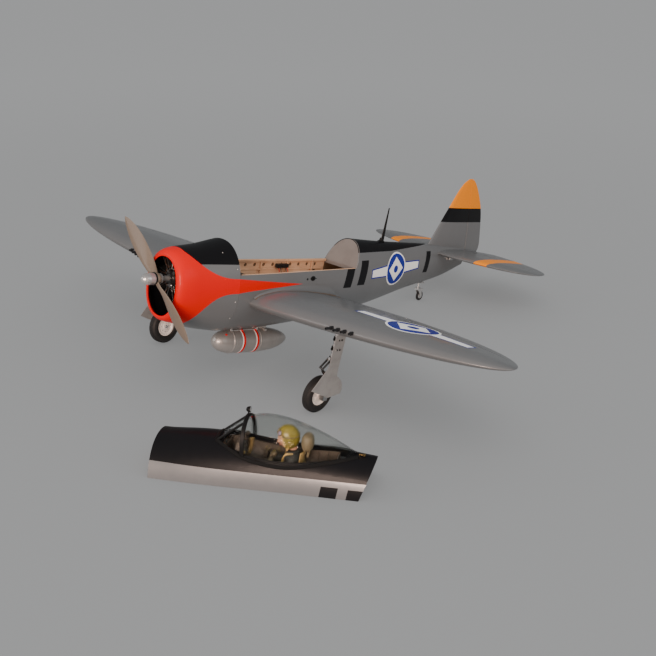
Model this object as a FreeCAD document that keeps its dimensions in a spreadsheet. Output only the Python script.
import FreeCAD, Part
import math
import os
import re
import Sketcher
from FreeCAD import Placement, Rotation, Vector

# Radio-control warbird, 2.12 m span, with its canopy hatch lifted off and laid on the floor.
# Aircraft axes: X forward, Y to port, Z up, origin at the tip of the spinner nut on the thrust line.
# Every sub-part is modelled in aircraft axes (or in axes of its own) and then placed in the
# three-point stance: +Z up, floor at z = 0, origin below the middle of the whole set.

doc = FreeCAD.newDocument("warbird")
sheet = doc.addObject("Spreadsheet::Sheet", "sheet")
DIMENSIONS = (
    ("half_span", 1060), ("wing_root", 60), ("chord_front", 170), ("chord_back", 285),
    ("spar_station", -560), ("wing_height", -75.8), ("dihedral_slope", 0.0528),
    ("wing_thickness", 0.15), ("aileron_inner", 640), ("aileron_outer", 985), ("flap_inner", 140),
    ("flap_outer", 625), ("hinge_gap", 0.9), ("end_gap", 1.2),
    ("tail_half_span", 437), ("tail_station", -1712), ("tail_height", 67), ("tail_thickness", 0.075),
    ("elevator_hinge", -1750), ("elevator_inner", 17), ("joiner_radius", 2),
    ("cowl_rear", -328), ("skin", 3), ("sill_height", 30), ("hatch_rear", -957),
    ("former_thickness", 4),
    ("prop_station", -66), ("prop_hub_radius", 19), ("prop_hub_depth", 17),
    ("prop_angle", 51.5), ("prop_pitch", 200), ("shaft_radius", 4), ("nut_radius", 19.5),
    ("nut_length", 50),
    ("crank_radius", 36), ("crank_depth", 34), ("cylinder_radius", 15), ("cylinder_length", 48),
    ("leg_station", -473), ("leg_pivot_y", 452.7), ("leg_pivot_z", -68), ("leg_lean", 4.5),
    ("leg_length", 239.4), ("retract_turn", 80),
    ("wheel_offset", 28), ("wheel_radius", 63.5), ("tyre_width", 33),
    ("hub_radius", 36), ("axle_radius", 4), ("running_gap", 0.05), ("strut_radius", 9.5),
    ("piston_radius", 6.5), ("cover_offset", 12), ("cover_thickness", 1.6),
    ("tail_leg_station", -1487), ("tail_axle_x", -1506.5), ("tail_axle_z", -123.1),
    ("tail_wheel_radius", 21), ("tail_wheel_width", 11), ("tail_axle_radius", 2),
    ("tube_radius", 12), ("tube_station", -648), ("tube_length", 560),
    ("tank_nose", -352), ("tank_length", 360), ("tank_radius", 45), ("tank_height", -235),
    ("mast_height", 134), ("mast_radius", 6), ("gun_radius", 4.5),
    ("pitch", 12.27), ("shift_x", 797.31), ("lift_z", 461.85),
    ("hatch_floor_x", 967.56), ("hatch_floor_y", 292.2), ("hatch_yaw", -59.42),
)
for row, (alias, value) in enumerate(DIMENSIONS, 1):
    sheet.set("A%d" % row, alias)
    sheet.set("B%d" % row, str(value))
    sheet.setAlias("B%d" % row, alias)
doc.recompute()
ALIASES = sorted((alias for alias, _ in DIMENSIONS), key=len, reverse=True)
NAMES = re.compile(r"\b(%s)\b" % "|".join(ALIASES))


def dim(alias):
    return float(sheet.get(alias))


def bound(text):
    """The expression text with each alias pointed at the sheet."""
    return NAMES.sub(r"sheet.\1", str(text))


def value_of(text):
    return float(sheet.evalExpression(NAMES.sub(r"\1", str(text))))


# ---------------------------------------------------------------- placements
X_AXIS = Vector(1, 0, 0)
Y_AXIS = Vector(0, 1, 0)
Z_AXIS = Vector(0, 0, 1)
STANCE = Placement(Vector(dim("shift_x"), 0, dim("lift_z")), Rotation(Y_AXIS, -dim("pitch")))
HATCH_SEAT = Vector(dim("cowl_rear"), 0, dim("sill_height"))
HATCH_FLOOR = Placement(
    Vector(dim("hatch_floor_x"), dim("hatch_floor_y"), 0), Rotation(Z_AXIS, dim("hatch_yaw"))
).multiply(Placement(-HATCH_SEAT, Rotation()))
nodes = []


def at(x, y, z, axis=Z_AXIS, angle=0):
    return Placement(Vector(x, y, z), Rotation(axis, angle))


def node(obj, label, local=Placement(), base=STANCE):
    """Name a finished sub-part and put it in its place."""
    obj.Label = label
    obj.Placement = base.multiply(local)
    nodes.append(obj)
    return obj


def feature(label, shape, local=Placement(), base=STANCE):
    obj = doc.addObject("Part::Feature", label)
    obj.Shape = shape
    return node(obj, label, local, base)


# ---------------------------------------------------------------- sketch helpers
def closed_sketch(body, plane, points):
    """A closed outline whose corners are pairs of sheet expressions."""
    sketch = body.newObject("Sketcher::SketchObject", body.Name + "_outline")
    origin_planes = [f for f in body.Origin.OriginFeatures if f.Role == plane]
    sketch.AttachmentSupport = [(origin_planes[0], "")]
    sketch.MapMode = "FlatFace"
    corners = [Vector(value_of(a), value_of(b), 0) for a, b in points]
    count = len(points)
    for i in range(count):
        sketch.addGeometry(Part.LineSegment(corners[i], corners[(i + 1) % count]), False)
    for i in range(count):
        sketch.addConstraint(Sketcher.Constraint("Coincident", i, 2, (i + 1) % count, 1))
    for i, (a, b) in enumerate(points):
        for kind, text, size in (("DistanceX", a, corners[i].x), ("DistanceY", b, corners[i].y)):
            index = sketch.addConstraint(Sketcher.Constraint(kind, -1, 1, i, 1, size))
            if NAMES.search(str(text)):
                sketch.setExpression("Constraints[%d]" % index, bound(text))
    return sketch


def turned(label, points, local=Placement(), base=STANCE):
    """A body turned about its own Z axis; points are (radius, height) expressions."""
    body = doc.addObject("PartDesign::Body", label)
    sketch = closed_sketch(body, "XZ_Plane", points)
    turn = body.newObject("PartDesign::Revolution", label + "_turn")
    turn.Profile = sketch
    turn.ReferenceAxis = (sketch, ["V_Axis"])
    turn.Angle = 360
    sketch.Visibility = False
    return node(body, label, local, base)


# ---------------------------------------------------------------- shape helpers
def rod(start, end, radius):
    """A round bar between two points."""
    line = end - start
    return Part.makeCylinder(radius, line.Length, start, line)


def block(x, y, z):
    """A box from three (low, high) pairs."""
    return Part.makeBox(x[1] - x[0], y[1] - y[0], z[1] - z[0], Vector(x[0], y[0], z[0]))


def prism(points, direction):
    """A solid swept straight from a closed outline of vectors."""
    wire = Part.makePolygon(points + points[:1])
    return Part.Face(wire).extrude(direction)


def mirrored(shape):
    return shape.mirror(Vector(0, 0, 0), Y_AXIS)


def fused(shapes):
    return shapes[0].multiFuse(shapes[1:]).removeSplitter()


def blended(table, x):
    """Smooth interpolation of the rows (x, value, value, ...) of a table, in falling x."""
    for i in range(len(table) - 1):
        if table[i][0] >= x >= table[i + 1][0]:
            break
    ahead, near, far, after = (table[max(0, min(len(table) - 1, j))] for j in (i - 1, i, i + 1, i + 2))
    step = far[0] - near[0]
    u = (x - near[0]) / step
    values = []
    for k in range(1, len(near)):
        slope_near = (far[k] - ahead[k]) / (far[0] - ahead[0]) * step
        slope_far = (after[k] - near[k]) / (after[0] - near[0]) * step
        values.append(
            near[k] * (2 * u**3 - 3 * u**2 + 1) + slope_near * (u**3 - 2 * u**2 + u)
            + far[k] * (3 * u**2 - 2 * u**3) + slope_far * (u**3 - u**2)
        )
    return values


def oval(x, half_width, top, bottom, power=2.2, count=16):
    """A closed super-ellipse wire in the plane at station x."""
    middle = (top + bottom) / 2
    half_height = (top - bottom) / 2
    points = []
    for i in range(count):
        turn = 2 * math.pi * i / count
        across = math.copysign(abs(math.cos(turn)) ** (2 / power), math.cos(turn))
        upward = math.copysign(abs(math.sin(turn)) ** (2 / power), math.sin(turn))
        points.append(Vector(x, half_width * across, middle + half_height * upward))
    curve = Part.BSplineCurve()
    curve.interpolate(Points=points, PeriodicFlag=True)
    return Part.Wire(curve.toShape())


def lofted(wires):
    return Part.makeLoft(wires, True, False, False)


# ---------------------------------------------------------------- fuselage
# station, half width, top height, bottom height
FUSELAGE = (
    (-328, 119, 130, -187), (-425, 116, 139, -190), (-528, 111, 146, -190), (-700, 100, 146, -182),
    (-850, 92.5, 138, -170), (-980, 86, 128, -155), (-1180, 67, 115, -122), (-1358, 50, 108, -84),
    (-1501, 38, 102, -60), (-1620, 27, 95, -37), (-1700, 19, 90, -14), (-1764, 12, 86, 6),
)
FUSELAGE_STATIONS = (-328, -425, -528, -614, -700, -850, -980, -1180, -1358, -1501, -1620, -1700, -1764)


def fuselage_solid(inset=0, front=0, growth=0):
    """The fuselage's outer form, drawn in by inset."""
    wires = []
    for x in FUSELAGE_STATIONS:
        half_width, top, bottom = blended(FUSELAGE, x)
        wires.append(oval(x, half_width - inset + growth, top - inset + growth, bottom + inset - growth))
    return lofted(wires)


skin = dim("skin")
sill = dim("sill_height")
cowl_rear = dim("cowl_rear")
hatch_rear = dim("hatch_rear")
outer_form = fuselage_solid()
inner_form = fuselage_solid(skin)
rear_slant = 48  # the aft end of the hatch leans back by this much at the top
hatch_outline = [
    Vector(cowl_rear + 5, -200, sill), Vector(hatch_rear, -200, sill),
    Vector(hatch_rear - rear_slant, -200, sill + 130), Vector(cowl_rear + 5, -200, sill + 130),
]
hatch_space = prism(hatch_outline, Vector(0, 400, 0))
tube_hole = rod(
    Vector(dim("tube_station"), -300, -68), Vector(dim("tube_station"), 300, -68),
    dim("tube_radius") + dim("running_gap"),
)
WALL_FRONT = cowl_rear - 4
shell = outer_form.cut(inner_form.common(block((-1756, WALL_FRONT + 10), (-200, 200), (-250, 200))))
shell = shell.cut(hatch_space)

# ---------------------------------------------------------------- wings
def wing_station(y):
    """Leading edge, trailing edge and chord-plane height at span station y."""
    part = min(0.9995, y / dim("half_span"))
    front = dim("spar_station") + dim("chord_front") * (1 - part**3) ** 0.5
    back = dim("spar_station") - dim("chord_back") * (1 - part**2.4) ** 0.55
    return front, back, dim("wing_height") + dim("dihedral_slope") * y


def tail_station(y):
    part = min(0.9995, y / dim("tail_half_span"))
    front = dim("tail_station") + 170 * (1 - part**2) ** 0.5
    back = dim("tail_station") - 178 * (1 - part**2.5) ** 0.5
    return front, back, dim("tail_height")


def aerofoil_height(u, thickness):
    """Half thickness of a standard four-digit section at chord fraction u."""
    return 5 * thickness * (
        0.2969 * math.sqrt(u) - 0.1260 * u - 0.3516 * u**2 + 0.2843 * u**3 - 0.1015 * u**4
    )


def aerofoil(front, back, thickness, camber, to_vector, half_count=9):
    """A closed section wire; to_vector maps (chordwise place, height) to a point."""
    chord = front - back
    upper = []
    lower = []
    for i in range(half_count + 1):
        u = (1 - math.cos(math.pi * i / half_count)) / 2
        middle = camber * 4 * u * (1 - u)
        half = aerofoil_height(u, thickness)
        upper.append(to_vector(front - u * chord, (middle + half) * chord))
        lower.append(to_vector(front - u * chord, (middle - half) * chord))
    curve = Part.BSplineCurve()
    curve.interpolate(Points=upper[::-1] + lower[1:])
    return Part.Wire([curve.toShape(), Part.makeLine(lower[-1], upper[-1])])


def lifting_solid(stations, planform, thickness, camber):
    wires = []
    for y in stations:
        front, back, height = planform(abs(y))

        def to_vector(x, z, y=y, height=height):
            return Vector(x, y, height + z)

        wires.append(aerofoil(front, back, thickness, camber, to_vector))
    return lofted(wires)


def surface_block(inner, outer, side, reach, depth, gap):
    """The space of a hinged surface behind the line inner-outer.

    side is the outward normal of the surface plane.  With gap 0 the front is bevelled so that the
    surface can swing; with a gap the block is the slot cut for it.
    """
    along = (outer - inner).normalize()
    aft = along.cross(side).normalize()
    if aft.x > 0:
        aft = aft * -1
    bevel = depth * math.tan(math.radians(26))
    lift = side * depth
    if gap:
        start = inner - along * gap
        corners = [start - aft * gap - lift, start - aft * gap + lift, start + aft * reach + lift,
                   start + aft * reach - lift]
        return prism(corners, along * ((outer - inner).Length + 2 * gap))
    nose = inner + aft * 0.4
    corners = [nose, nose + aft * bevel + lift, inner + aft * reach + lift, inner + aft * reach - lift,
               nose + aft * bevel - lift]
    return prism(corners, outer - inner)


WING_STATIONS = (dim("wing_root"), 200, 360, 520, 660, 780, 880, 950, 1000, 1032, 1050, 1059)
wing_form = lifting_solid(WING_STATIONS, wing_station, dim("wing_thickness"), 0.012)
HINGE_FRACTION = 0.79
wing_normal = Vector(0, -dim("dihedral_slope"), 1).normalize()


def hinge_point(y):
    front, back, height = wing_station(y)
    return Vector(front + (back - front) * HINGE_FRACTION, y, height + 1.5)


def wing_surface(name):
    """Hinge ends of an aileron or flap on the port wing."""
    return hinge_point(dim(name + "_inner")), hinge_point(dim(name + "_outer"))


SURFACE_DEPTH = 40
SURFACE_REACH = 140
surfaces = {}
port_wing = wing_form
for name in ("aileron", "flap"):
    inner, outer = wing_surface(name)
    space = surface_block(inner, outer, wing_normal, SURFACE_REACH, SURFACE_DEPTH, 0)
    slot = surface_block(inner, outer, wing_normal, SURFACE_REACH + 60, SURFACE_DEPTH, dim("end_gap"))
    surfaces[name] = wing_form.common(space)
    port_wing = port_wing.cut(slot)

# Wheel well: room for the retracted wheel, its leg, the cover plate and the retract unit,
# drawn in the axes of the retracted leg, whose +Y points down and whose -Z points inboard.
leg_x = dim("leg_station")
pivot_y = dim("leg_pivot_y")
pivot_z = dim("leg_pivot_z")
leg_length = dim("leg_length")
wheel_offset = dim("wheel_offset")
wheel_radius = dim("wheel_radius")
retracted = at(leg_x, pivot_y, pivot_z, X_AXIS, -dim("leg_lean") - dim("retract_turn"))
OLEO_TRAVEL = 12
wheel_rooms = []
for rise in (0, OLEO_TRAVEL):
    wheel_rooms += [
        Part.makeCylinder(wheel_radius + 2.5, 150, Vector(0, -wheel_offset - 12, rise - leg_length), Y_AXIS),
        Part.makeCylinder(wheel_radius - 5, 150, Vector(0, -wheel_offset - 18, rise - leg_length), Y_AXIS),
    ]
well = fused(wheel_rooms + [
    block((-34, 44), (-16, 90), (-leg_length, 24)),
    block((-72, 88), (7, 90), (-leg_length - 2, -150)),
    block((30, 60), (-16, 90), (-174, -84)),
])
well.Placement = retracted
unit_room = block((leg_x - 26, leg_x + 26), (pivot_y - 37, pivot_y + 24), (pivot_z - 60, pivot_z + 24))
port_wing = port_wing.cut(well).cut(unit_room).cut(outer_form).cut(tube_hole)

# ---------------------------------------------------------------- tail surfaces
TAIL_STATIONS = (0, 120, 220, 300, 360, 400, 422, 432, 436)
half_tail = lifting_solid(TAIL_STATIONS, tail_station, dim("tail_thickness"), 0)
elevator_line = dim("elevator_hinge")
tail_z = dim("tail_height")
stab = half_tail.cut(block((-2000, elevator_line + dim("hinge_gap")), (-1, 500), (0, 120)))
elevator_inner_end = Vector(elevator_line, dim("elevator_inner"), tail_z)
elevator_outer_end = Vector(elevator_line, dim("tail_half_span") + 3, tail_z)
elevator_half = half_tail.common(
    surface_block(elevator_inner_end, elevator_outer_end, Z_AXIS, 200, 30, 0)
)
rudder_swing = prism(
    [Vector(elevator_line + 1, 0, 0), Vector(elevator_line + 1, 17, 0), Vector(-1764, 17, 0),
     Vector(-1960, 122, 0), Vector(-1960, 0, 0)],
    Vector(0, 0, 150),
)
elevator_half = elevator_half.cut(rudder_swing)
joiner_middle = Vector(elevator_line - 4, 0, tail_z)
joiner_reach = Vector(0, 19, 0)
joiner = rod(joiner_middle - joiner_reach, joiner_middle + joiner_reach, dim("joiner_radius"))
stabilizer_form = stab.fuse(mirrored(stab)).removeSplitter()
elevator_shape = fused([elevator_half, mirrored(elevator_half), joiner])

# height, leading edge, trailing edge of fin and rudder together
FIN = ((40, -1460, -1846), (62, -1474, -1872), (85, -1489, -1882), (120, -1511, -1879), (197, -1560, -1861),
       (258, -1600, -1841), (310, -1634, -1812), (350, -1664, -1783), (374, -1693, -1759),
       (385, -1716, -1740))
FIN_THICKNESS = 0.058
fin_wires = [
    aerofoil(front, back, FIN_THICKNESS, 0, lambda x, w, z=z: Vector(x, w, z)) for z, front, back in FIN
]
fin_form = lofted(fin_wires)
RUDDER_BOTTOM = Vector(-1771, 0, 42)
RUDDER_TOP = Vector(-1731, 0, 378)
rudder_shape = fin_form.common(surface_block(RUDDER_BOTTOM, RUDDER_TOP, Y_AXIS, 220, 30, 0))
fin_shape = fin_form.cut(surface_block(RUDDER_BOTTOM - Vector(5, 0, 42), RUDDER_TOP, Y_AXIS, 240, 30, 0.9))
fin_shape = fin_shape.cut(outer_form).cut(stabilizer_form)
shell = shell.cut(stabilizer_form)
shell = shell.cut(rod(joiner_middle - Vector(0, 40, 0), joiner_middle + Vector(0, 40, 0), 6))
shell = shell.cut(tube_hole)

feature("fuselage_shell", shell)
feature("wing_port", port_wing)
feature("wing_starboard", mirrored(port_wing))
for name in ("aileron", "flap"):
    feature(name + "_port", surfaces[name])
    feature(name + "_starboard", mirrored(surfaces[name]))
feature("stabilizer", stabilizer_form)
feature("elevator", elevator_shape)
feature("fin", fin_shape)
feature("rudder", rudder_shape)

# ---------------------------------------------------------------- inside the fuselage
def ring(x, thickness, width, top):
    """A plywood former with its middle cut out."""
    slab = block((x - thickness, x), (-200, 200), (-250, top))
    return inner_form.common(slab).cut(fuselage_solid(skin + width))


PLY = dim("former_thickness")
RAIL_DEPTH = 8
DOUBLER_DROP = 78
doubler_band = inner_form.cut(fuselage_solid(skin + 3))
rail_band = inner_form.cut(fuselage_solid(skin + 9))
bay = (hatch_rear + 2, cowl_rear - 16)
doublers = doubler_band.common(block(bay, (-200, 200), (sill - DOUBLER_DROP, sill - RAIL_DEPTH)))
HOLE_PITCH = 44
hole_x = cowl_rear - 50
while hole_x > hatch_rear + 30:
    hole = Vector(hole_x, 0, sill - 21)
    across = Vector(0, 200, 0)
    doublers = doublers.cut(rod(hole - across, hole + across, 7))
    doublers = doublers.cut(block((hole_x - 7, hole_x + 7), (-200, 200), (sill - 66, sill - 38)))
    hole_x -= HOLE_PITCH
rails = rail_band.common(block(bay, (-200, 200), (sill - RAIL_DEPTH, sill)))

firewall = inner_form.common(block((cowl_rear - 12, cowl_rear - 6), (-200, 200), (-250, sill - 2)))
firewall = firewall.cut(rod(Vector(cowl_rear, 45, -60), Vector(cowl_rear - 20, 45, -60), 9))
feature("firewall", firewall)
FORMER_STATIONS = (-470, -600, -735, -870)
rings = [
    ring(x, PLY, 20, sill - DOUBLER_DROP) for x in FORMER_STATIONS
]
ring_solids = [solid for former in rings for solid in former.Solids]
feature("fuselage_framing", Part.makeCompound(doublers.Solids + rails.Solids + ring_solids))

BULKHEAD = 4
bulkhead_outline = [
    Vector(hatch_rear - 0.5, -200, sill), Vector(hatch_rear - BULKHEAD, -200, sill),
    Vector(hatch_rear - rear_slant - BULKHEAD, -200, sill + 130),
    Vector(hatch_rear - rear_slant, -200, sill + 130),
]
bulkhead_face = outer_form.common(prism(bulkhead_outline, Vector(0, 400, 0)))
bulkhead_foot = inner_form.common(
    block((hatch_rear - BULKHEAD, hatch_rear - 0.5), (-200, 200), (sill - RAIL_DEPTH - 6, sill))).cut(rails)
feature("aft_bulkhead", bulkhead_face.fuse(bulkhead_foot).removeSplitter())
shell = shell.cut(bulkhead_face)

SERVO_X = -672
SERVO_PITCH = 66
TRAY_Z = sill - DOUBLER_DROP - 2
tray = inner_form.common(block((-865, -612), (-200, 200), (TRAY_Z, TRAY_Z + 4)))
for rise in range(3):
    slot_x = SERVO_X - SERVO_PITCH * rise
    tray = tray.cut(block((slot_x - 40, slot_x), (-10, 10), (TRAY_Z - 5, TRAY_Z + 9)))
for former in rings:
    tray = tray.cut(former)
tray = tray.cut(doublers)
servo_tray = max(tray.Solids, key=lambda solid: solid.Volume)
shelf = inner_form.common(block((-466, -344), (-200, 200), (-35, -31))).cut(rings[0]).cut(doublers)
feature("equipment_trays", Part.makeCompound([servo_tray] + shelf.Solids))
servos = []
for rise in range(3):
    slot_x = SERVO_X - SERVO_PITCH * rise
    case = block((slot_x - 40, slot_x), (-10, 10), (TRAY_Z - 24, TRAY_Z + 13))
    ears = block((slot_x - 48, slot_x + 8), (-10, 10), (TRAY_Z + 4, TRAY_Z + 7))
    horn = rod(Vector(slot_x - 10, 0, TRAY_Z + 13), Vector(slot_x - 10, 0, TRAY_Z + 18), 5)
    arm = block((slot_x - 13, slot_x - 7), (-18, 18), (TRAY_Z + 16, TRAY_Z + 18))
    servos.append(fused([case, ears, horn, arm]))
feature("servos", Part.makeCompound(servos))


def boxed(label, sizes, local, base=STANCE, rounding=3):
    """A box with rounded edges, its three sizes bound to plain numbers."""
    box = doc.addObject("Part::Box", label + "_block")
    box.Length, box.Width, box.Height = sizes
    doc.recompute()
    rounded = doc.addObject("Part::Fillet", label)
    rounded.Base = box
    rounded.Edges = [(i + 1, rounding, rounding) for i in range(len(box.Shape.Edges))]
    return node(rounded, label, local, base)


boxed("receiver_box", (70, 60, 34), at(-460, -30, -31))
boxed("battery_pack", (110, 62, 40), at(-590, -31, -150))

# ---------------------------------------------------------------- cowl
# station, half width, top height, bottom height of the outside
COWL = (
    (-92, 75, 79, -129), (-94.5, 81, 85, -134.5), (-101, 87.5, 91.5, -139.5), (-112, 93, 97, -143.5),
    (-132, 98, 102, -148), (-180, 104, 107.5, -162), (-231, 109, 113, -174), (-285, 114.5, 122.5, -183),
    (-340, 120, 132, -188),
)
# the same for the air intake, from ahead of the lip to where the wall turns parallel
INTAKE = ((-80, 71, 75, -125), (-98, 71, 75, -125), (-108, 76, 80, -129.5), (-122, 86, 90, -138))
COWL_WALL = 3.5
COWL_GAP = 0.5
cowl_outside = lofted([oval(*row) for row in COWL])
inside_rows = [
    (x, width - COWL_WALL, top - COWL_WALL, bottom + COWL_WALL) for x, width, top, bottom in COWL[4:]
]
cowl_inside = lofted([oval(*row) for row in INTAKE + tuple(inside_rows)])
trim = block((cowl_rear + COWL_GAP, -50), (-200, 200), (-250, 200))
feature("cowl", cowl_outside.common(trim).cut(cowl_inside))

# ---------------------------------------------------------------- scale radial engine
ENGINE_X = -150
crank_x = ENGINE_X - 17
turned(
    "radial_crankcase",
    (("shaft_radius + 6", 0), ("crank_radius", 0), ("crank_radius", "crank_depth - 8"),
     ("crank_radius - 8", "crank_depth"), (22, "crank_depth + 6"), (17, "crank_depth + 16"),
     ("shaft_radius + 6", "crank_depth + 18")),
    at(crank_x, 0, 0, Y_AXIS, 90),
)


def radial_cylinder():
    """One finned cylinder standing on the Z axis."""
    foot = 33
    length = dim("cylinder_length")
    radius = dim("cylinder_radius")
    parts = [Part.makeCylinder(radius - 3.5, length, Vector(0, 0, foot + 4))]
    for i in range(8):
        parts.append(Part.makeCylinder(radius, 2.2, Vector(0, 0, foot + 9 + 4.6 * i)))
    parts.append(Part.makeCylinder(radius - 5, 6, Vector(0, 0, foot + length)))
    return fused(parts)


one_cylinder = radial_cylinder()
cylinders = []
pushrods = []
for i in range(9):
    spin = Rotation(X_AXIS, 40 * i)
    copy = one_cylinder.copy()
    copy.Placement = Placement(Vector(ENGINE_X, 0, 0), spin)
    cylinders.append(copy)
    for side in (-1, 1):
        foot = Vector(crank_x + 36, 0, 0)
        start = foot + spin.multVec(Vector(0, 5 * side, 29))
        end = foot + spin.multVec(Vector(0, 9 * side, 84))
        pushrods.append(rod(start, end, 1.6))
feature("radial_cylinders", Part.makeCompound(cylinders + pushrods))

# ---------------------------------------------------------------- engine
motor = fused([
    rod(Vector(-316, 0, 0), Vector(-205, 0, 0), 27),
    block((-290, -232), (-30, 30), (-44, 0)),
    block((-300, -222), (-24, 24), (-92, -44)),
    rod(Vector(-205, 0, 0), Vector(-190, 0, 0), 15),
])
for i in range(6):
    for side in (-1, 1):
        fin_gap = block((-302, -220), sorted((side * 19, side * 26)), (-89 + 7 * i, -86 + 7 * i))
        motor = motor.cut(fin_gap)
mount = [rod(Vector(cowl_rear - 6, y, z), Vector(-300, y, z), 6) for y in (-22, 22) for z in (-22, 22)]
feature("engine", fused([motor] + mount))
muffler = fused([
    rod(Vector(-300, 52, -100), Vector(-225, 52, -100), 20), block((-275, -250), (24.5, 48), (-92, -62)),
    rod(Vector(-262, 52, -115), Vector(-262, 52, -146), 6),
])
feature("muffler", muffler)

# ---------------------------------------------------------------- propeller
turned(
    "prop_driver",
    (("shaft_radius + 5", -74), ("shaft_radius + 4", -10), ("prop_hub_radius - 2", -8),
     ("prop_hub_radius - 2", 0), (0, 0), (0, -74)),
    at(dim("prop_station") - dim("prop_hub_depth") / 2, 0, 0, Y_AXIS, 90),
)


def blade_section(radius, chord, thickness):
    """Blade section at a radius, twisted to the pitch of the propeller."""
    angle = math.atan2(dim("prop_pitch"), 2 * math.pi * max(radius, 42))
    cos_a = math.cos(angle)
    sin_a = math.sin(angle)

    def to_vector(along, height):
        return Vector(sin_a * along + cos_a * height, -cos_a * along + sin_a * height, radius)

    return aerofoil(0.45 * chord, -0.55 * chord, thickness, 0.01, to_vector, 6)


# radius, chord and thickness ratio along a blade
BLADE = ((14, 20, 0.75), (34, 23, 0.5), (70, 31, 0.26), (110, 36, 0.17), (150, 37, 0.13),
         (190, 34, 0.11), (225, 27, 0.1), (244, 17, 0.1), (253, 6, 0.12))
blade = lofted([blade_section(*row) for row in BLADE])
hub_depth = dim("prop_hub_depth")
hub = Part.makeCylinder(
    dim("prop_hub_radius"), hub_depth, Vector(-hub_depth / 2, 0, 0), X_AXIS
)
other_blade = blade.copy()
other_blade.rotate(Vector(0, 0, 0), X_AXIS, 180)
bolt_circle = Part.makeCylinder(dim("shaft_radius"), 40, Vector(-20, 0, 0), X_AXIS)
nut_seat = Part.makeCylinder(dim("nut_radius") + 0.7, 30, Vector(hub_depth / 2, 0, 0), X_AXIS)
prop = fused([blade, other_blade, hub]).cut(bolt_circle).cut(nut_seat)
feature("propeller", prop, at(dim("prop_station"), 0, 0, X_AXIS, dim("prop_angle")))
turned(
    "spinner_nut",
    ((0, 0), ("nut_radius + 0.6", 0), ("nut_radius + 0.6", 3.5), ("nut_radius", 4),
     ("nut_radius", "nut_length*0.5"),
     ("nut_radius*0.9", "nut_length*0.72"), ("nut_radius*0.68", "nut_length*0.87"),
     ("nut_radius*0.36", "nut_length*0.97"), (0, "nut_length")),
    at(dim("prop_station") + hub_depth / 2, 0, 0, Y_AXIS, 90),
)

# ---------------------------------------------------------------- wing fittings
tube = doc.addObject("Part::Cylinder", "wing_tube")
tube.setExpression("Radius", bound("tube_radius"))
tube.setExpression("Height", bound("tube_length"))
node(tube, "wing_tube", at(dim("tube_station"), dim("tube_length") / 2, -68, X_AXIS, 90))

GUN_PLACES = ((482, 30), (508, 25), (534, 20), (561, 14))
guns = []
for y, reach in GUN_PLACES:
    front, back, height = wing_station(y)
    muzzle = Vector(front + reach, y, height + 2)
    barrel = rod(Vector(front - 8, y, height + 2), muzzle, dim("gun_radius"))
    sleeve = rod(Vector(front - 8, y, height + 2), Vector(front + 7, y, height + 2), dim("gun_radius") + 2)
    bore = rod(muzzle - Vector(14, 0, 0), muzzle + Vector(1, 0, 0), dim("gun_radius") - 2)
    gun = barrel.fuse(sleeve).removeSplitter().cut(bore).cut(wing_form)
    gun = max(gun.Solids, key=lambda solid: solid.Volume)
    guns += [gun, mirrored(gun)]
feature("gun_barrels", Part.makeCompound(guns))

# ---------------------------------------------------------------- main landing gear
strut_radius = dim("strut_radius")
piston_radius = dim("piston_radius")
cover_y = dim("cover_offset")
CLAMP_PLACES = (-32, -66)
STRUT_END = -96
KNEE = Vector(46, 0, -131)
UPPER_PIN = Vector(15, 0, -103)
LOWER_PIN = Vector(15, 0, -159)


def leg_placement(side):
    """Axes of a landing-gear leg: Z up the leg, Y outboard for the port leg."""
    return at(leg_x, side * pivot_y, pivot_z, X_AXIS, -side * dim("leg_lean"))


def side_shape(shape, side):
    return shape if side > 0 else mirrored(shape)


def strut_cylinder():
    body = rod(Vector(0, 0, STRUT_END), Vector(0, 0, -8), strut_radius)
    trunnion = rod(Vector(-16, 0, 0), Vector(16, 0, 0), 7)
    pin = rod(Vector(-24, 0, 0), Vector(24, 0, 0), 3)
    neck = rod(Vector(0, 0, -14), Vector(0, 0, 0), 6)
    lug = block((8, 18), (-4, 4), (UPPER_PIN.z - 5, UPPER_PIN.z + 7)).cut(
        rod(UPPER_PIN - Vector(0, 9, 0), UPPER_PIN + Vector(0, 9, 0), 2))
    collar = rod(Vector(0, 0, STRUT_END), Vector(0, 0, STRUT_END - 14), strut_radius + 2)
    shape = fused([body, trunnion, pin, neck, collar, lug])
    bore = rod(Vector(0, 0, STRUT_END - 20), Vector(0, 0, -40), piston_radius + dim("running_gap"))
    return shape.cut(bore)


def strut_piston():
    """Sliding lower leg with its foot and the wheel axle."""
    slide = rod(Vector(0, 0, -leg_length), Vector(0, 0, -70), piston_radius)
    foot = block((-10, 10), (-9, 8), (-leg_length - 10, -leg_length + 14))
    axle_end = Vector(0, -wheel_offset - 17, -leg_length)
    axle = rod(Vector(0, 0, -leg_length), axle_end, dim("axle_radius"))
    collar = rod(Vector(0, 0, LOWER_PIN.z - 7), Vector(0, 0, LOWER_PIN.z + 7), piston_radius + 3)
    lug = block((0, 18), (-4, 4), (LOWER_PIN.z - 6, LOWER_PIN.z + 3)).cut(
        rod(LOWER_PIN - Vector(0, 9, 0), LOWER_PIN + Vector(0, 9, 0), 2))
    return fused([slide, foot, axle, collar, lug])


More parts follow.
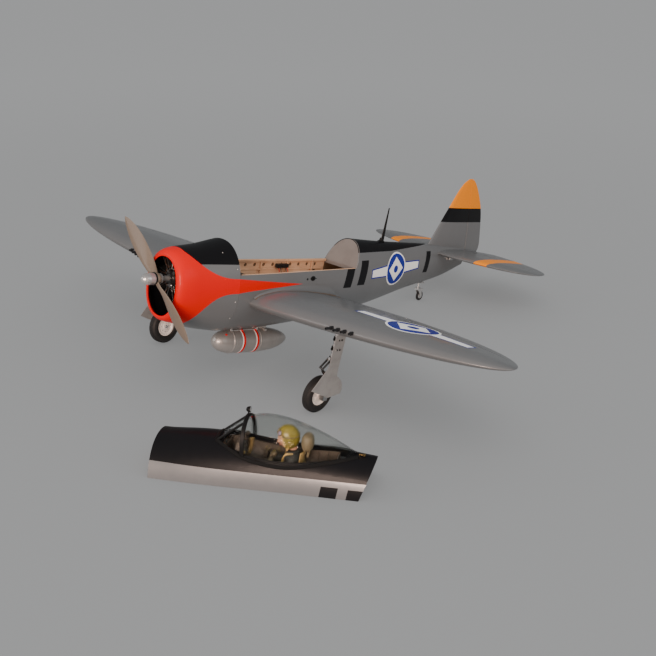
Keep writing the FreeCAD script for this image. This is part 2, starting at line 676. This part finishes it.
def torque_link(pin, cheeks):
    """A link from a pin on the leg to the knee; cheeks are its (low, high) widths."""
    arm = (KNEE - pin).normalize()
    across = Vector(arm.z, 0, -arm.x) * 3.2
    parts = []
    for low, high in cheeks:
        outline = [pin - across, pin + across, KNEE + across * 0.8, KNEE - across * 0.8]
        lifted = [point + Vector(0, low, 0) for point in outline]
        parts.append(prism(lifted, Vector(0, high - low, 0)))
        parts.append(rod(pin + Vector(0, low, 0), pin + Vector(0, high, 0), 4))
        parts.append(rod(KNEE + Vector(0, low, 0), KNEE + Vector(0, high, 0), 3.2))
    return fused(parts)


def upper_link():
    link = torque_link(UPPER_PIN, ((-8.5, -4.5), (4.5, 8.5)))
    pin = rod(UPPER_PIN - Vector(0, 9, 0), UPPER_PIN + Vector(0, 9, 0), 1.9)
    return link.fuse(pin).removeSplitter()


def lower_link():
    cheeks = torque_link(LOWER_PIN, ((-8.5, -4.5), (4.5, 8.5)))
    arm = (KNEE - LOWER_PIN).normalize()
    cut_at = LOWER_PIN + arm * 22
    keep = Part.makeSphere(22, LOWER_PIN)
    tongue = torque_link(LOWER_PIN, ((-3.5, 3.5),)).cut(Part.makeSphere(17, LOWER_PIN))
    bridge = prism(
        [cut_at + Vector(arm.z, 0, -arm.x) * 3 * s - arm * t for s, t in ((-1, 0), (1, 0), (1, 6), (-1, 6))],
        Vector(0, 17, 0),
    )
    bridge.translate(Vector(0, -8.5, 0))
    pin = rod(LOWER_PIN - Vector(0, 9, 0), LOWER_PIN + Vector(0, 9, 0), 1.9)
    return fused([cheeks.common(keep), bridge, tongue, pin])


def clamps():
    parts = []
    for z in CLAMP_PLACES:
        ring_part = rod(Vector(0, 0, z - 5), Vector(0, 0, z + 5), strut_radius + 2.3)
        foot = block((-13, 13), (0, cover_y), (z - 5, z + 5))
        bore = rod(Vector(0, 0, z - 6), Vector(0, 0, z + 6), strut_radius)
        parts.append(ring_part.fuse(foot).removeSplitter().cut(bore))
    return parts


COVER_OUTLINE = (
    (24, -14), (24, -126), (84, -203), (-4, -237), (-64, -228), (-67, -212), (-62, -193), (-50, -177),
    (-25, -160), (-24, -126), (-24, -14),
)
screw_points = [(x, z) for z in CLAMP_PLACES for x in (-11, 11)]


def cover():
    outline = [Vector(x, cover_y, z) for x, z in COVER_OUTLINE]
    panel = prism(outline, Vector(0, dim("cover_thickness"), 0))
    head_face = cover_y + dim("cover_thickness") + 2
    heads = [rod(Vector(x, cover_y + 1, z), Vector(x, head_face, z), 3) for x, z in screw_points]
    return fused([panel] + heads)


def retract_unit():
    """Retract mechanism housing above the pivot, open where the leg swings."""
    cheeks = [block((s * 20 - 3, s * 20 + 3), (-16, 16), (-12, 18)) for s in (-1, 1)]
    roof = block((-23, 23), (-34, 20), (12, 22))
    unit = fused(cheeks + [roof])
    bearing = rod(Vector(-30, 0, 0), Vector(30, 0, 0), 3 + dim("running_gap"))
    return unit.cut(bearing)


shapes_by_name = {
    "strut_cylinder": strut_cylinder(), "strut_piston": strut_piston(), "torque_link_upper": upper_link(),
    "torque_link_lower": lower_link(), "gear_cover": Part.makeCompound([cover()] + clamps()),
}
units = []
for side in (1, -1):
    unit = retract_unit()
    unit.Placement = at(leg_x, pivot_y, pivot_z)
    units.append(side_shape(unit, side))
feature("retract_units", Part.makeCompound(units))
for side, suffix in ((1, "port"), (-1, "starboard")):
    for name, shape in shapes_by_name.items():
        feature(name + "_" + suffix, side_shape(shape, side), leg_placement(side))
    wheel_axis = leg_placement(side).multiply(at(0, -side * wheel_offset, -leg_length, X_AXIS, 90))
    turned(
        "wheel_hub_" + suffix,
        (("axle_radius + running_gap", -12), (11, -12), (12, -9), ("hub_radius - 8", -7),
         ("hub_radius - 4", -12), ("hub_radius", -12), ("hub_radius - 3", -8), ("hub_radius - 3", 8),
         ("hub_radius", 12), ("hub_radius - 4", 12), ("hub_radius - 8", 7), (12, 9), (11, 12),
         ("axle_radius + running_gap", 12)),
        wheel_axis,
    )
    turned(
        "tyre_" + suffix,
        (("hub_radius - 3", -8), ("hub_radius", -12), ("hub_radius + 4", "-tyre_width/2 + 1"),
         ("hub_radius + 12", "-tyre_width/2"), ("wheel_radius - 8", "-tyre_width/2 + 2.5"),
         ("wheel_radius - 2.5", "-tyre_width/2 + 7.5"), ("wheel_radius", "-tyre_width/5"),
         ("wheel_radius", "tyre_width/5"), ("wheel_radius - 2.5", "tyre_width/2 - 7.5"),
         ("wheel_radius - 8", "tyre_width/2 - 2.5"), ("hub_radius + 12", "tyre_width/2"),
         ("hub_radius + 4", "tyre_width/2 - 1"), ("hub_radius", 12), ("hub_radius - 3", 8)),
        wheel_axis,
    )

# ---------------------------------------------------------------- tail wheel
tail_x = dim("tail_leg_station")
axle_x = dim("tail_axle_x")
axle_z = dim("tail_axle_z")
post = rod(Vector(tail_x, 0, -92), Vector(tail_x, 0, -50), 4)
crown = block((axle_x - 3, tail_x + 7), (-11, 11), (-98, -90))
arms = []
for side in (-1, 1):
    low = side * 8 - 1.5
    outline = [
        Vector(axle_x - 5, low, axle_z - 4), Vector(axle_x + 5, low, axle_z - 4),
        Vector(tail_x + 4, low, -94), Vector(tail_x - 16, low, -94),
    ]
    arms.append(prism(outline, Vector(0, 3, 0)))
tail_axle = rod(Vector(axle_x, -10.5, axle_z), Vector(axle_x, 10.5, axle_z), dim("tail_axle_radius"))
feature("tail_fork", fused([post, crown, tail_axle] + arms))
bracket = block((tail_x - 22, tail_x + 22), (-15, 15), (-66, -62)).fuse(
    rod(Vector(tail_x, 0, -68), Vector(tail_x, 0, -58), 8)).removeSplitter()
steer_hole = rod(Vector(tail_x, 0, -100), Vector(tail_x, 0, -20), 4.05)
feature("tail_bracket", bracket.cut(outer_form).cut(steer_hole))
doc.getObject("fuselage_shell").Shape = shell.cut(steer_hole)
doc.getObject("fuselage_shell").Placement = STANCE
tail_axis = at(axle_x, 0, axle_z, X_AXIS, 90)
turned(
    "tail_wheel_hub",
    (("tail_axle_radius + running_gap", "-tail_wheel_width/2"), (6, "-tail_wheel_width/2"), (11, -3),
     (12, -4), (12, 4), (11, 3), (6, "tail_wheel_width/2"),
     ("tail_axle_radius + running_gap", "tail_wheel_width/2")),
    tail_axis,
)
turned(
    "tail_tyre",
    ((12, -4), (16, "-tail_wheel_width/2"), ("tail_wheel_radius - 1.5", "-tail_wheel_width/2 + 2"),
     ("tail_wheel_radius", -2), ("tail_wheel_radius", 2),
     ("tail_wheel_radius - 1.5", "tail_wheel_width/2 - 2"), (16, "tail_wheel_width/2"), (12, 4)),
    tail_axis,
)

# ---------------------------------------------------------------- mast, drop tank
MAST_FOOT = Vector(-1181, 0, 113.5)
MAST_TOP = Vector(-1198, 0, 247)
mast = doc.addObject("Part::Cone", "antenna_mast")
mast.setExpression("Radius1", bound("mast_radius"))
mast.setExpression("Radius2", bound("mast_radius*0.35"))
mast.setExpression("Height", bound("mast_height"))
mast_turn = math.degrees(math.atan2(MAST_TOP.x - MAST_FOOT.x, MAST_TOP.z - MAST_FOOT.z))
node(mast, "antenna_mast", at(MAST_FOOT.x, 0, MAST_FOOT.z + 2.5, Y_AXIS, mast_turn))

TANK_PROFILE = ((0.0, 0.0), (0.01, 0.3), (0.04, 0.57), (0.09, 0.78), (0.17, 0.94), (0.27, 1.0), (0.5, 1.0),
                (0.64, 0.975), (0.77, 0.87), (0.88, 0.66), (0.95, 0.42), (0.985, 0.22), (1.0, 0.0))
tank_radius = dim("tank_radius")
tank_length = dim("tank_length")
tank_points = [Vector(-u * tank_length, 0, r * tank_radius) for u, r in TANK_PROFILE]
tank_curve = Part.BSplineCurve()
tank_curve.interpolate(Points=tank_points)
tank_face = Part.Face(Part.Wire([tank_curve.toShape(), Part.makeLine(tank_points[-1], tank_points[0])]))
tank_solid = tank_face.revolve(Vector(0, 0, 0), X_AXIS, 360)
tank_nose = Vector(dim("tank_nose"), 0, dim("tank_height"))
tank_tilt = 2.0
tank_place = at(tank_nose.x, 0, tank_nose.z, Y_AXIS, -tank_tilt)
BAND_PLACES = (0.29, 0.66)
bands = []
for u in BAND_PLACES:
    radius = tank_radius * (1.0 if u < 0.5 else 0.97)
    middle = -u * tank_length
    hoop = Part.makeCylinder(radius + 1.6, 7, Vector(middle - 3.5, 0, 0), X_AXIS).cut(tank_solid)
    bands.append(max(hoop.Solids, key=lambda solid: solid.Volume))
tank_bands = Part.makeCompound(bands)
feature("drop_tank", Part.makeCompound([tank_solid] + bands), tank_place)
tank_in_place = tank_solid.copy()
tank_in_place.Placement = tank_place
bands_in_place = tank_bands.copy()
bands_in_place.Placement = tank_place
pylon = block((-594, -450), (-9, 9), (-215, -180))
for x in (-466, -578):
    pylon = pylon.fuse(block((x - 5, x + 5), (-26, 26), (-206, -198)))
pylon = pylon.removeSplitter().cut(outer_form).cut(tank_in_place).cut(bands_in_place)
feature("tank_pylon", max(pylon.Solids, key=lambda solid: solid.Volume))

# ---------------------------------------------------------------- switch
def side_width(x, z):
    """Half width of the fuselage at station x and height z."""
    half_width, top, bottom = blended(FUSELAGE, x)
    rise = abs(z - (top + bottom) / 2) / ((top - bottom) / 2)
    return half_width * (1 - rise**2.2) ** (1 / 2.2)


SWITCH = Vector(-703, 0, 4)
switch_y = side_width(SWITCH.x, SWITCH.z)
switch_body = block(
    (SWITCH.x - 17, SWITCH.x + 17), (switch_y - 3, switch_y + 3), (SWITCH.z - 7, SWITCH.z + 7)
)
switch_body = switch_body.cut(outer_form)
feature("switch_plate", max(switch_body.Solids, key=lambda solid: solid.Volume))

# ---------------------------------------------------------------- hatch
def hatch_node(label, shape):
    feature(label, shape, Placement(), HATCH_FLOOR)


HATCH_SKIN = 2.5
hatch_block = hatch_space.common(block((hatch_rear - 60, cowl_rear - 0.5), (-200, 200), (sill, 260)))
hatch_form = outer_form.common(hatch_block)
hatch_inside = fuselage_solid(HATCH_SKIN)
# station and half width of the opening over the cockpit
COCKPIT_OPENING = ((-540, 42), (-606, 63), (-670, 70), (-740, 68), (-806, 57), (-866, 40), (-905, 24))
cockpit_hole = lofted([
    oval(x, half_width, 300, 60, 2.6) for x, half_width in COCKPIT_OPENING
])
hatch_skin_shape = hatch_form.cut(hatch_inside).cut(cockpit_hole)
hatch_node("hatch_shell", max(hatch_skin_shape.Solids, key=lambda solid: solid.Volume))

base_band = hatch_inside.cut(fuselage_solid(HATCH_SKIN + 10))
base_rails = base_band.common(block((hatch_rear, cowl_rear - 4), (-200, 200), (sill, sill + 8)))
cross_formers = []
for x in (cowl_rear - 4, -500, -925, hatch_rear + PLY + 1):
    slab = hatch_inside.common(block((x - PLY, x), (-200, 200), (sill, 250))).cut(base_rails)
    lower = fuselage_solid(HATCH_SKIN + 16)
    slab = slab.cut(lower) if x != cowl_rear - 4 else slab
    cross_formers += slab.Solids
hatch_node("hatch_frame", Part.makeCompound(base_rails.Solids + cross_formers))

# station, half width at the deck, top, bottom of the bubble
CANOPY = ((-506, 60, 116, 60), (-528, 68, 148, 60), (-572, 70, 181, 60), (-618, 69, 211, 60),
          (-676, 66, 228, 60), (-763, 58, 220, 60), (-853, 42, 184, 60), (-905, 27, 152, 60),
          (-938, 14, 128, 60))
GLASS = 1.5


def canopy_solid(growth):
    return lofted([oval(x, width + growth, top + growth, bottom, 2.3) for x, width, top, bottom in CANOPY])


canopy_form = canopy_solid(0)
glass_cut = canopy_form.cut(canopy_solid(-GLASS)).cut(outer_form)
hatch_node("canopy_glass", max(glass_cut.Solids, key=lambda solid: solid.Volume))
frame_band = canopy_solid(1.4).cut(canopy_form).cut(outer_form)
FRAME_HOOPS = ((-608, 10), (-509, 9))
hoops = []
for x, width in FRAME_HOOPS:
    slanted = block((x - width, x), (-100, 100), (60, 240))
    hoops.append(frame_band.common(slanted))
sill_line = fuselage_solid(0, growth=7)
hoops.append(frame_band.common(sill_line))
for y in (-28, 28):
    hoops.append(frame_band.common(block((-612, -510), (y - 3.5, y + 3.5), (60, 240))))
frame_shape = fused(hoops)
hatch_node("canopy_frame", max(frame_shape.Solids, key=lambda solid: solid.Volume))

FLOOR_Z = 58
cockpit_floor = block((-855, -520), (-50, 50), (FLOOR_Z, FLOOR_Z + 3))
seat_back = block((-790, -786), (-34, 34), (FLOOR_Z + 3, FLOOR_Z + 90))
panel_face = block((-590, -584), (-46, 46), (FLOOR_Z + 3, 140)).cut(outer_form.cut(hatch_inside))
gunsight = block((-606, -590), (-9, 9), (134, 160))
panel_shape = panel_face.fuse(gunsight).removeSplitter()
hatch_node("instrument_panel", max(panel_shape.Solids, key=lambda solid: solid.Volume))
headrest = block((-802, -786), (-26, 26), (FLOOR_Z + 68, FLOOR_Z + 126))
hatch_node("cockpit_tub", Part.makeCompound([cockpit_floor.fuse(seat_back).removeSplitter(), headrest]))
PILOT_X = -745
HEAD_X = -730
torso = Part.makeCylinder(33, 56, Vector(PILOT_X, 0, FLOOR_Z + 4))
shoulders = Part.makeSphere(30, Vector(PILOT_X, 0, FLOOR_Z + 60)).common(
    block((PILOT_X - 26, PILOT_X + 26), (-40, 40), (FLOOR_Z + 30, FLOOR_Z + 100)))
head = Part.makeSphere(32, Vector(HEAD_X, 0, 166))
neck = rod(Vector(PILOT_X, 0, FLOOR_Z + 80), Vector(PILOT_X, 0, 170), 11)
hatch_node("pilot_figure", fused([torso, shoulders, neck, head]))
mirror_post = rod(Vector(-612, 0, 204), Vector(-612, 0, 232), 1.6)
mirror_pod = block((-619, -609), (-9, 9), (230, 248))
mirror_shape = mirror_post.fuse(mirror_pod).removeSplitter().cut(canopy_solid(1.4))
hatch_node("mirror", max(mirror_shape.Solids, key=lambda solid: solid.Volume))
latch_knob = rod(Vector(-955, 0, 133.5), Vector(-955, 0, 137.5), 5)
latch_bolt = block((-958, -940), (-2, 2), (134, 137))
hatch_node("hatch_latch", fused([latch_knob, latch_bolt]))

# ---------------------------------------------------------------- check and write
doc.recompute()
broken = [obj.Name for obj in doc.Objects if {"Invalid", "Error"} & set(obj.State)]
broken += [obj.Label for obj in nodes if obj.Shape.isNull() or not obj.Shape.isValid()]
if broken:
    raise RuntimeError("these objects failed: " + ", ".join(broken))
os.makedirs("parts", exist_ok=True)
for obj in nodes:
    obj.Shape.exportStep(os.path.join("parts", obj.Label + ".step"))
print(len(nodes), "sub-parts written")
